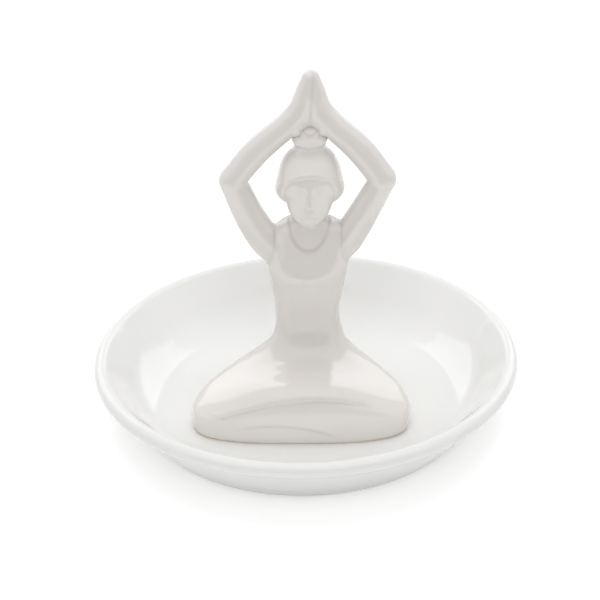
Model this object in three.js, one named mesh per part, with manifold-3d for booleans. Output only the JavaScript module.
// Porcelain ring holder: a seated figure with its palms joined overhead, bonded into a round dish.
// Millimetres, +Z up. The origin is the centre of the dish's foot on the table, and the figure faces -Y.
// The figure is put together as a figure maker does it: a hollow-cast body, a head, a topknot and two arms
// are cast apart, stuck together along the neck, the armholes, the topknot and the palms, and glazed.
// Right and left are as seen from the front.

import * as THREE from "three";
import { mergeVertices } from "three/addons/utils/BufferGeometryUtils.js";
import Module from "manifold-3d";

const wasm = await Module();
wasm.setup();

// Dish
const rimRadius = 62.5; // widest circle, at the lip
const dishHeight = 19.2;
const footRadius = 48.2;
const lipWidth = 4.4; // round bead along the rim
const dishWall = 3.8;
const floorThickness = 3.5;
const floorFillet = 10; // how far the inside's corner runs over the floor
const footRecess = 1.5; // height of the unglazed foot ring
const footRingWidth = 4.2;
const heelRadius = 1.6; // rounded outer edge of the foot
const dishSegments = 60;

// Joints
const bondThickness = 0.5; // adhesive between the figure and the dish
const bondSetback = 0.9; // from the figure's edge to the edge of the adhesive
const seam = 0.3; // slip line between two castings
const castWall = 3.6; // wall of the hollow body casting

// Lap
const kneeSpan = 63.4;
const kneeHeight = 7; // where the knees turn in towards the thighs
const lapFront = 28.7; // from the dish's axis to the front of the shins
const lapBack = 14.6;
const lapHeight = 16.6; // top of the crossed legs at the front

// Torso, neck and head
const waistWidth = 18.8;
const waistDepth = 14.4;
const waistRise = 9.7; // from the top of the legs to the narrowest place
const chestWidth = 22.8;
const chestDepth = 17.8;
const chestRise = 15; // from the waist to the fullest part of the chest
const shoulderRise = 15; // from the chest to the neck
const neckWidth = 8.8;
const torsoSet = 3.3; // the torso stands this far behind the dish's axis
const torsoSway = 0.8; // and it stands, with the head, this far to the right of the lap's middle
const headHeight = 21.6; // chin to crown
const faceWidth = 13.8;
const headDepth = 16.6;
const hairWidth = 19.9;
const hairThickness = 0.6;
const gatherWidth = 9.2; // hair drawn up under the topknot
const gatherRise = 2.5; // from the crown to the topknot
const topknotWidth = 9.6;
const topknotHeight = 2.8;
const topknotRim = 4.9; // width of its dished top
const tieThickness = 0.8; // round band at the topknot's base

// Arms
const armRootThickness = 9.1;
const armThickness = 7.7;
const armFlatness = 0.92; // depth over thickness
const elbowSpan = 42.4; // between the two elbow centres
const elbowRise = 12.4; // from the top of the shoulders
const wristSpread = 5.9; // wrist centre to the palms' seam
const wristRise = 2.2; // from the topknot's top to the wrists
const armSway = 0.3; // how far the palms' seam stands to the right of the lap's middle
const armSet = 0.9; // the arms stand this far in front of the torso's middle
const handLength = 16.4;
const palmWidth = 7.8;
const fingertipWidth = 4.2;

// The fired figure stands a little out of true in its dish
const figureLean = THREE.MathUtils.degToRad(2.45);
const figureTurn = THREE.MathUtils.degToRad(-2.5);
const figureShift = -1.2;

// Heights above the figure's base
const waistZ = lapHeight + waistRise;
const chestZ = waistZ + chestRise;
const neckZ = chestZ + shoulderRise;
const headZ = neckZ + seam;
const crownZ = headZ + headHeight;
const topknotZ = crownZ + gatherRise;
const elbowZ = neckZ + elbowRise;
const wristZ = topknotZ + topknotHeight + wristRise;
const floorZ = footRecess + floorThickness;

const porcelain = new THREE.MeshStandardMaterial({ color: 0xf1efea, roughness: 0.12, metalness: 0 });
const dishPorcelain = new THREE.MeshStandardMaterial({ color: 0xf3f3f1, roughness: 0.1, metalness: 0 });
const adhesive = new THREE.MeshStandardMaterial({ color: 0xcdbfae, roughness: 0.5, metalness: 0 });

// Solids: a closed geometry as a manifold solid, and back

function solidOf(geometry) {
  const bare = geometry.clone().deleteAttribute("normal").deleteAttribute("uv");
  const merged = mergeVertices(bare, 1e-4);
  const index = merged.index.array;
  const kept = [];
  for (let i = 0; i < index.length; i += 3) {
    const [a, b, c] = index.slice(i, i + 3);
    if (a !== b && b !== c && a !== c) kept.push(a, b, c);
  }
  const vertProperties = merged.attributes.position.array;
  return new wasm.Manifold(new wasm.Mesh({ numProp: 3, vertProperties, triVerts: new Uint32Array(kept) }));
}

function meshOf(name, solid, material) {
  const { vertProperties, triVerts } = solid.getMesh();
  const geometry = new THREE.BufferGeometry();
  geometry.setAttribute("position", new THREE.BufferAttribute(vertProperties, 3));
  geometry.setIndex(new THREE.BufferAttribute(triVerts, 1));
  geometry.computeVertexNormals();
  const mesh = new THREE.Mesh(geometry, material);
  mesh.name = name;
  return mesh;
}

// A closed skin over rings of points. The rings follow each other along the form, each turning
// anticlockwise about the way they follow, and a fan closes each end.
function loft(rings) {
  const count = rings[0].length;
  const points = rings.flat();
  const centre = (ring) => ring.reduce((sum, p) => sum.add(p), new THREE.Vector3()).divideScalar(count);
  const first = points.push(centre(rings[0])) - 1;
  const last = points.push(centre(rings.at(-1))) - 1;
  const top = (rings.length - 1) * count;
  const index = [];
  for (let j = 0; j < count; j++) {
    const k = (j + 1) % count;
    for (let i = 0; i < top; i += count) {
      index.push(i + j, i + k, i + count + k, i + j, i + count + k, i + count + j);
    }
    index.push(first, k, j, last, top + j, top + k);
  }
  return solidOf(new THREE.BufferGeometry().setFromPoints(points).setIndex(index));
}

// One ring of a standing form, from its side, front and back points. The exponents in square say how full
// its front and back halves are (2 is an ellipse).
function ringOf(side, front, back, square, sides) {
  return Array.from({ length: sides }, (_, j) => {
    const angle = (2 * Math.PI * j) / sides;
    const [c, n] = [Math.cos(angle), Math.sin(angle)];
    const end = n < 0 ? front : back;
    const power = 2 / (n < 0 ? square.x : square.y);
    return new THREE.Vector3(
      side.x * Math.abs(c) ** power * Math.sign(c),
      side.y + (end.y - side.y) * Math.abs(n) ** power,
      side.z * c * c + end.z * n * n,
    );
  });
}

// One level of a standing form: side [x, y, z], front [y, z], back [y, z] and square [front, back]
function station(side, front, back, square = [2.2, 2.2]) {
  return {
    side: new THREE.Vector3(...side),
    front: new THREE.Vector3(0, ...front),
    back: new THREE.Vector3(0, ...back),
    square: new THREE.Vector3(...square, 0),
  };
}

// A standing form through stations from the bottom up, made fuller all round by grow
function standingForm({ stations, sides, levels, grow = 0, relief = () => 0 }) {
  const curve = (key, x, y) => {
    const shift = new THREE.Vector3(x, y, 0);
    return new THREE.CatmullRomCurve3(stations.map((s) => s[key].clone().add(shift)));
  };
  const profiles = [curve("side", grow, 0), curve("front", 0, -grow), curve("back", 0, grow)];
  const fullness = curve("square", 0, 0);
  const rings = levels.map((level) => {
    const t = level / (stations.length - 1);
    const [side, front, back] = profiles.map((c) => c.getPoint(t));
    const square = fullness.getPoint(t);
    const middle = new THREE.Vector3(0, side.y, 0);
    return ringOf(side, front, back, square, sides).map((p) => {
      const outward = p.clone().sub(middle).setZ(0).normalize();
      return p.clone().addScaledVector(outward, relief(p));
    });
  });
  return loft(rings);
}

// Evenly spaced levels between two stations
function levels(from, to, count) {
  return Array.from({ length: count + 1 }, (_, i) => from + ((to - from) * i) / count);
}

// A limb along a curve in an upright plane: wide is its half thickness in that plane, deep is across it.
// The last part of its length, endRound, is rounded off.
function limb({ curve, wide, deep, sides, steps, endRound = 0 }) {
  const rings = [];
  for (let i = 0; i <= steps; i++) {
    const t = i / steps;
    const past = Math.max(0, t + endRound - 1) / (endRound || 1);
    const round = Math.sqrt(1 - 0.96 * past ** 2);
    const centre = curve.getPoint(t);
    const along = curve.getTangent(t);
    const across = new THREE.Vector3(0, 1, 0).addScaledVector(along, -along.y).normalize();
    const outward = new THREE.Vector3().crossVectors(across, along);
    rings.push(
      Array.from({ length: sides }, (_, j) => {
        const angle = (2 * Math.PI * j) / sides;
        return centre
          .clone()
          .addScaledVector(outward, wide(t) * round * Math.cos(angle))
          .addScaledVector(across, deep(t) * round * Math.sin(angle));
      }),
    );
  }
  return loft(rings);
}

// A smooth value through evenly spaced ones
function through(values) {
  const curve = new THREE.SplineCurve(values.map((v, i) => new THREE.Vector2(i, v)));
  return (t) => curve.getPoint(t).y;
}

function ellipsoid(centre, radii) {
  const ball = new THREE.SphereGeometry(1, 20, 12).rotateX(Math.PI / 2).scale(...radii).translate(...centre);
  return solidOf(ball);
}

// Dish: a revolved section. The inside of the wall runs on into the lip's round, and the outside meets the
// lip in a small step, since the lip is wider than the wall.

function makeDish() {
  const lip = lipWidth / 2;
  const step = dishWall - lip;
  const lipCentre = new THREE.Vector2(rimRadius - lip, dishHeight - lip);
  const heel = new THREE.Vector2(footRadius + heelRadius * 0.6, heelRadius);
  const span = lipCentre.clone().sub(heel);
  const slope = Math.atan2(span.x, span.y) + Math.asin(step / span.length());
  const up = new THREE.Vector2(Math.sin(slope), Math.cos(slope));
  const out = new THREE.Vector2(up.y, -up.x);
  const below = Math.sqrt(lip ** 2 - step ** 2);
  const wallTop = lipCentre.clone().addScaledVector(out, step).addScaledVector(up, -below);
  const stepAngle = wallTop.clone().sub(lipCentre).angle() - 2 * Math.PI;
  const cornerRadius = heel.x + (floorZ - heel.y) * Math.tan(slope) - dishWall / Math.cos(slope);
  const fillet = Math.min(floorFillet, cornerRadius - bondReach()); // leaves the adhesive its flat floor
  const section = new THREE.Path();
  section.moveTo(0, footRecess);
  section.lineTo(footRadius - footRingWidth - footRecess, footRecess);
  section.lineTo(footRadius - footRingWidth, 0);
  section.lineTo(footRadius - heelRadius, 0);
  section.quadraticCurveTo(footRadius, 0, heel.x, heel.y);
  section.lineTo(wallTop.x, wallTop.y);
  section.absarc(lipCentre.x, lipCentre.y, lip, stepAngle, Math.PI - slope);
  section.lineTo(cornerRadius + 0.8 * fillet * up.x, floorZ + 0.8 * fillet * up.y);
  section.quadraticCurveTo(cornerRadius, floorZ, cornerRadius - fillet, floorZ);
  section.lineTo(0, floorZ);
  return solidOf(new THREE.LatheGeometry(section.getPoints(6), dishSegments).rotateX(Math.PI / 2));
}

// Body: crossed legs, waist, chest and shoulders in one hollow casting, open at its base

const kneeHalf = kneeSpan / 2;
const kneeY = -lapFront * 0.57;

function bodyStations() {
  const [waist, chest, neck] = [waistWidth / 2, chestWidth / 2, neckWidth / 2];
  const lap = (share) => lapHeight * share;
  const rib = (share) => waistZ + chestRise * share;
  const shoulder = (share) => chestZ + shoulderRise * share;
  const y = (depth, share) => torsoSet + depth * share;
  const hollow = (share) => waistZ - waistRise * share;
  return [
    station([kneeHalf * 0.975, kneeY, 0], [-lapFront * 0.98, 0], [lapBack * 0.95, 0], [3, 1.7]),
    station(
      [kneeHalf * 0.99, kneeY, lap(0.08)],
      [-lapFront * 0.995, lap(0.08)],
      [lapBack * 0.98, lap(0.07)],
      [2.9, 1.6],
    ),
    station([kneeHalf, kneeY, kneeHeight * 0.62], [-lapFront, lap(0.36)], [lapBack, lap(0.18)], [2.7, 1.55]),
    station(
      [kneeHalf * 0.925, kneeY * 0.78, kneeHeight],
      [-lapFront * 0.97, lap(0.65)],
      [lapBack * 1.015, lap(0.33)],
      [2.5, 1.55],
    ),
    station(
      [kneeHalf * 0.76, kneeY * 0.5, lap(0.62)],
      [-lapFront * 0.87, lap(0.9)],
      [lapBack * 1.01, lap(0.48)],
      [2.35, 1.6],
    ),
    station(
      [kneeHalf * 0.54, -torsoSet, lap(0.785)],
      [-lapFront * 0.57, lap(0.95)],
      [lapBack * 0.97, lap(0.72)],
      [2.25, 1.8],
    ),
    station([waist * 1.28, 0, lap(0.95)], [-lapFront * 0.32, lap(0.97)], [lapBack * 0.9, lap(1)], [2.2, 2]),
    station(
      [waist * 1.05, torsoSet, hollow(0.66)],
      [y(waistDepth, -0.625), hollow(0.68)],
      [y(waistDepth, 0.56), hollow(0.5)],
    ),
    station([waist, torsoSet, waistZ], [y(waistDepth, -0.53), waistZ], [y(waistDepth, 0.5), waistZ]),
    station(
      [(waist + chest) / 2, torsoSet, rib(0.5)],
      [y(waistDepth + chestDepth, -0.288), rib(0.66)],
      [y(chestDepth, 0.43), rib(0.5)],
    ),
    station([chest, torsoSet, chestZ], [y(chestDepth, -0.515), chestZ], [y(chestDepth, 0.45), chestZ]),
    station(
      [chest * 0.947, torsoSet, shoulder(0.47)],
      [y(chestDepth, -0.405), shoulder(0.44)],
      [y(chestDepth, 0.42), shoulder(0.47)],
    ),
    station(
      [chest * 0.833, torsoSet, shoulder(0.82)],
      [y(chestDepth, -0.31), shoulder(0.75)],
      [y(chestDepth, 0.36), shoulder(0.82)],
    ),
    station(
      [neck * 1.5, torsoSet, shoulder(0.953)],
      [y(chestDepth, -0.25), shoulder(0.893)],
      [y(neckWidth, 0.56), shoulder(0.933)],
    ),
    station([neck, torsoSet, neckZ], [torsoSet - neck, neckZ], [torsoSet + neck, neckZ], [2, 2]),
  ];
}
const hipStation = 6;
const chestStation = 10;
const neckStation = 14;

// The folds where one crossed leg lies over the other: each is an arched line across the front of the lap
// with the leg above it standing proud of the leg below.
const legFolds = [
  {
    peak: [kneeHalf * 0.12, lapHeight * 0.76],
    fallLeft: 0.0088,
    fallRight: 0.0115,
    ends: [-kneeHalf * 0.95, kneeHalf * 0.72],
    lift: 0.55,
  },
  {
    peak: [-kneeHalf * 0.26, lapHeight * 0.31],
    fallLeft: 0.026,
    fallRight: 0.0095,
    ends: [-kneeHalf * 0.7, kneeHalf * 0.46],
    lift: 0.5,
  },
];
const foldReach = 4.5; // how far a fold's swelling runs out above and below its line
const foldFade = 9; // how far its ends take to die away

function legRelief(p) {
  if (p.y > kneeY || p.z > lapHeight) return 0;
  return legFolds.reduce((sum, fold) => {
    const dx = p.x - fold.peak[0];
    const line = fold.peak[1] - (dx < 0 ? fold.fallLeft : fold.fallRight) * dx * dx;
    const begin = THREE.MathUtils.smoothstep(p.x, fold.ends[0], fold.ends[0] + foldFade);
    const end = THREE.MathUtils.smoothstep(p.x, fold.ends[1] - foldFade, fold.ends[1]);
    const d = p.z - line;
    const step = Math.tanh(d / 1.2) * Math.exp(-Math.abs(d) / foldReach);
    return sum + fold.lift * begin * (1 - end) * step * Math.min(1, p.z / 2);
  }, 0);
}

// Everything above the lap stands a little to one side
function swayed(solid) {
  return solid.warp((point) => {
    point[0] += torsoSway * THREE.MathUtils.smoothstep(point[2], kneeHeight, lapHeight);
  });
}

function makeBody() {
  const stations = bodyStations();
  const skin = standingForm({
    stations,
    sides: 44,
    levels: [...levels(0, hipStation, 33), ...levels(hipStation, neckStation, 24).slice(1)],
    relief: legRelief,
  });
  const cavity = standingForm({
    stations: stations.slice(0, chestStation + 1),
    sides: 20,
    levels: levels(0, chestStation, 14),
    grow: -castWall,
  });
  return swayed(skin.subtract(cavity.translate([0, 0, -castWall])));
}

// Head: neck, face and a close cap of hair whose edge arches over the brow

const headFront = torsoSet - headDepth * 0.58;
const headBack = torsoSet + headDepth * 0.42;
const knotY = torsoSet - headDepth * 0.025;

function makeHead() {
  const at = (share) => headZ + headHeight * share;
  const half = faceWidth / 2;
  const wide = hairWidth / 2;
  const gather = gatherWidth / 2;
  const f = (share) => headFront + headDepth * share;
  const b = (share) => headBack - headDepth * share;
  const mid = (share) => torsoSet + headDepth * share;
  const hairFront = (share) => f(share) - hairThickness;
  const face = standingForm({
    stations: [
      station([half * 0.2, f(0.25), at(0.015)], [f(0.175), at(0)], [f(0.34), at(0.04)]),
      station([half * 0.56, f(0.31), at(0.06)], [f(0.09), at(0.06)], [mid(0.12), at(0.13)]),
      station([half * 0.85, f(0.37), at(0.17)], [f(0.055), at(0.17)], [b(0.1), at(0.24)]),
      station([half, f(0.42), at(0.36)], [f(0.02), at(0.36)], [b(0.02), at(0.42)], [2, 2.2]),
      station([half, f(0.46), at(0.56)], [f(0.035), at(0.57)], [b(0), at(0.6)]),
      station([half * 0.94, mid(-0.06), at(0.76)], [f(0.08), at(0.77)], [b(0.055), at(0.78)]),
      station([half * 0.62, mid(-0.035), at(0.92)], [f(0.28), at(0.93)], [b(0.2), at(0.93)]),
      station([half * 0.1, mid(0), at(0.985)], [mid(-0.04), at(0.985)], [mid(0.04), at(0.985)]),
    ],
    sides: 24,
    levels: levels(0, 7, 18),
  });
  const hair = standingForm({
    stations: [
      station([half * 0.9, mid(0), at(0.2)], [mid(-0.18), at(0.22)], [b(0.07), at(0.1)]),
      station([wide * 0.87, mid(0), at(0.29)], [f(0.25), at(0.3)], [b(-0.055), at(0.2)]),
      station([wide, mid(-0.02), at(0.42)], [f(0.05), at(0.46)], [b(-0.09), at(0.4)]),
      station([wide * 0.935, mid(-0.025), at(0.6)], [hairFront(0.035), at(0.62)], [b(-0.085), at(0.6)]),
      station([wide * 0.825, mid(-0.025), at(0.79)], [hairFront(0.09), at(0.79)], [b(-0.02), at(0.79)]),
      station([wide * 0.675, mid(-0.025), at(0.91)], [hairFront(0.19), at(0.91)], [b(0.07), at(0.91)]),
      station([wide * 0.49, knotY, at(0.99)], [mid(-0.33), at(0.99)], [mid(0.28), at(0.99)]),
      station([wide * 0.2, knotY, at(1.05)], [mid(-0.15), at(1.05)], [mid(0.1), at(1.05)]),
    ],
    sides: 26,
    levels: levels(0, 7, 17),
  });
  const drawnUp = new THREE.CylinderGeometry(gather, gather, topknotZ - at(0.85), 24);
  drawnUp.rotateX(Math.PI / 2).translate(0, knotY, (topknotZ + at(0.85)) / 2);
  const brow = new THREE.Shape();
  brow.moveTo(-half * 0.8, at(0));
  brow.lineTo(half * 0.8, at(0));
  brow.lineTo(half * 0.97, at(0.5));
  brow.bezierCurveTo(half * 0.82, at(0.81), -half * 0.82, at(0.81), -half * 0.97, at(0.5));
  const opening = new THREE.ExtrudeGeometry(brow, {
    depth: headDepth,
    bevelEnabled: false,
    curveSegments: 14,
  });
  opening.rotateX(Math.PI / 2).translate(0, mid(-0.145), 0);
  const neck = new THREE.CylinderGeometry(neckWidth / 2, neckWidth / 2, at(0.4) - headZ, 24);
  neck.rotateX(Math.PI / 2).translate(0, torsoSet, (headZ + at(0.4)) / 2);
  return swayed(face.add(hair.subtract(solidOf(opening))).add(solidOf(neck)).add(solidOf(drawnUp)));
}

// Topknot: a low coiled bun on a thin tie, its top a little dished
function makeTopknot(grow) {
  const half = topknotWidth / 2 + grow;
  const rim = topknotRim / 2 + grow;
  const top = topknotHeight + grow;
  const tie = seam + tieThickness;
  const section = new THREE.Path();
  section.moveTo(0, seam - grow);
  section.lineTo(half * 0.9, seam - grow);
  section.quadraticCurveTo(half * 1.08, seam + tieThickness / 2, half * 0.92, tie);
  section.bezierCurveTo(half * 1.05, tie + top * 0.15, half * 0.95, top * 0.85, rim, top);
  section.quadraticCurveTo(rim * 0.8, top * 0.82, 0, top * 0.8);
  const bun = new THREE.LatheGeometry(section.getPoints(5), 24).rotateX(Math.PI / 2);
  return swayed(solidOf(bun.translate(0, knotY, topknotZ)));
}

// Arm: upper arm, elbow, forearm and hand in one casting. The right arm is built on +X.

const armY = torsoSet - armSet;

function makeArm() {
  const thick = armThickness / 2;
  const flat = thick * armFlatness;
  const shoulder = new THREE.Vector3(chestWidth * 0.443, torsoSet, chestZ + shoulderRise * 0.39);
  const elbow = new THREE.Vector3(elbowSpan / 2, armY, elbowZ);
  const wrist = new THREE.Vector3(wristSpread, armY, wristZ);
  const tip = new THREE.Vector3(fingertipWidth * 0.04, armY, wristZ + handLength);
  const root = armRootThickness / 2;
  const upperWide = through([root * 0.75, root, thick * 1.17, thick * 1.12, thick * 1.06, thick]);
  const upper = limb({
    curve: new THREE.LineCurve3(shoulder.clone().lerp(elbow, -0.18), elbow),
    wide: upperWide,
    deep: (t) => upperWide(t) * armFlatness,
    sides: 16,
    steps: 10,
  });
  const bend = wrist.clone().lerp(elbow, -0.22).setX(wristSpread * 0.44);
  const knuckles = bend.clone().lerp(tip, 0.5);
  const fingers = fingertipWidth * 0.72;
  const fore = limb({
    curve: new THREE.CatmullRomCurve3([elbow, elbow.clone().lerp(wrist, 0.5), wrist, bend, knuckles, tip]),
    wide: through([thick, thick * 1.02, thick * 0.94, thick * 0.98, fingers, fingers * 0.67]),
    deep: through([flat, flat, palmWidth * 0.46, palmWidth / 2, palmWidth * 0.42, fingertipWidth / 2]),
    sides: 16,
    steps: 24,
    endRound: 0.1,
  });
  const joint = ellipsoid(elbow, new THREE.Vector3(thick, flat, thick));
  const heelOfHand = ellipsoid(
    wrist.clone().lerp(tip, 0.32).setX(palmWidth * 0.22),
    new THREE.Vector3(palmWidth / 3, palmWidth / 3, palmWidth * 0.41),
  );
  return upper.add(fore).add(joint).add(heelOfHand);
}

// The arms are trimmed to the palms' seam, the armholes and the topknot
function makeArms() {
  const reach = 2 * (wristZ + handLength);
  const besidePalm = new THREE.BoxGeometry(reach, reach, reach).translate((reach + seam) / 2, 0, reach / 2);
  const torso = standingForm({
    stations: bodyStations(),
    sides: 44,
    levels: levels(0, neckStation, 42),
    grow: seam,
  });
  const trim = (arm) => arm.translate([armSway, 0, 0]).subtract(swayed(torso)).subtract(makeTopknot(seam));
  const arm = makeArm().intersect(solidOf(besidePalm));
  return { right_arm: trim(arm), left_arm: trim(arm.mirror([1, 0, 0])) };
}

// Bond: a ring of adhesive under the body's open base, set back from its edge

function bondOutline(inset) {
  const { side, front, back, square } = bodyStations()[0];
  const inward = (point, x, y) => point.clone().add(new THREE.Vector3(x, y, 0));
  const [s, f, b] = [inward(side, -inset, 0), inward(front, 0, inset), inward(back, 0, -inset)];
  return ringOf(s, f, b, square, 44).map((p) => new THREE.Vector2(p.x, p.y));
}

// How far the adhesive reaches from the dish's axis
function bondReach() {
  const axis = new THREE.Vector2(-figureShift, 0).rotateAround(new THREE.Vector2(), -figureTurn);
  return Math.max(...bondOutline(bondSetback).map((p) => p.distanceTo(axis)));
}

function makeBond() {
  const ring = new THREE.Shape(bondOutline(bondSetback));
  ring.holes.push(new THREE.Path(bondOutline(castWall)));
  return solidOf(new THREE.ExtrudeGeometry(ring, { depth: bondThickness, bevelEnabled: false }));
}

// Assembly

const lean = new THREE.Matrix4().makeShear(0, 0, 0, 0, Math.tan(figureLean), 0);
const pieces = { body: makeBody(), head: makeHead(), topknot: makeTopknot(0), ...makeArms() };

const figure = new THREE.Group();
figure.position.set(figureShift, 0, floorZ + bondThickness);
figure.rotation.z = figureTurn;
for (const [name, solid] of Object.entries(pieces)) {
  const mesh = meshOf(name, solid, porcelain);
  mesh.geometry.applyMatrix4(lean);
  figure.add(mesh);
}

const bond = meshOf("base_bond", makeBond(), adhesive);
bond.position.set(figureShift, 0, floorZ);
bond.rotation.z = figureTurn;

const ringHolder = new THREE.Group();
ringHolder.add(meshOf("dish", makeDish(), dishPorcelain), bond, figure);

export default ringHolder;
